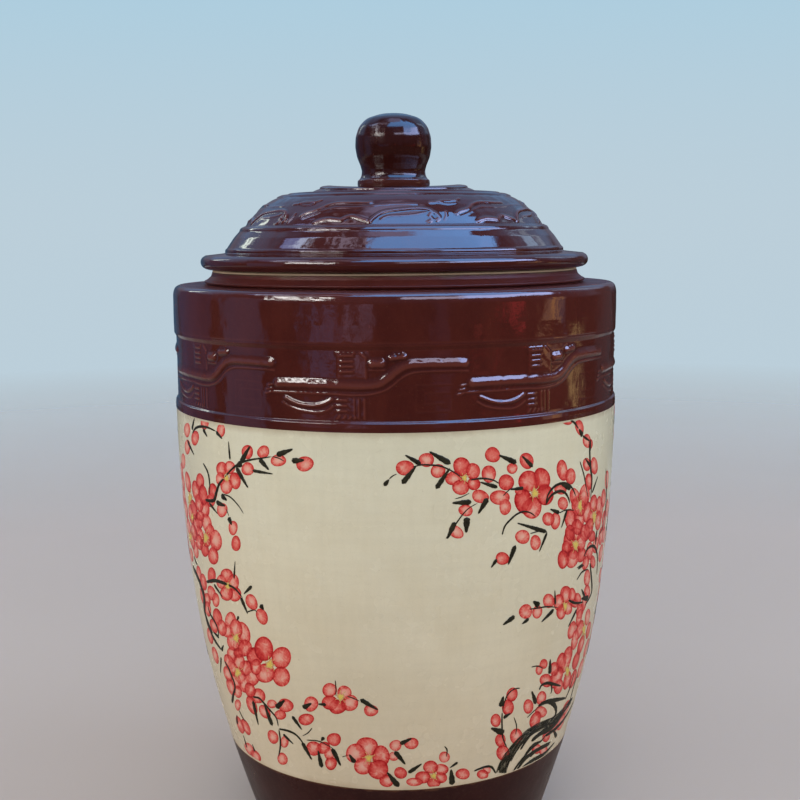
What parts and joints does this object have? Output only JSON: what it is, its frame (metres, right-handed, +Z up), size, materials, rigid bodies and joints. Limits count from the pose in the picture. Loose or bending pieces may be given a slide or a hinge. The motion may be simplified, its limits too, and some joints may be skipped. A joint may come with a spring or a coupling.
{
  "type": "rice storage jar",
  "caption": "Tall barrel-shaped glazed stoneware storage jar on a foot ring, with a relief band at the shoulder, a low flared neck and a domed lift-off lid with a ball knob.",
  "frame": {"origin": "centre of the foot's underside, on the surface the jar stands on", "axes": "+Z up along the turning axis; -Y faces the viewer of the picture; the jar is turned, so X and Y are equal in shape"},
  "size_m": [0.291, 0.291, 0.4718],
  "materials": {
    "jar_glaze": "cream glaze on the belly with painted blossom branches, dark red-brown gloss glaze on the shoulder and neck, satin dark brown foot, bare rim",
    "lid_glaze": "dark red-brown gloss glaze over shallow relief, bare seat and skirt",
    "knob_glaze": "dark red-brown gloss glaze"
  },
  "bodies": {
    "jar": {"jar_body": "jar_glaze"},
    "lid": {"lid_shell": "lid_glaze", "lid_knob": "knob_glaze"}
  },
  "joints": [
    {"name": "lid_lift", "type": "slide", "parent": "jar", "child": "lid", "axis": [0, 0, 1], "range_m": [0, 0.12]}
  ]
}
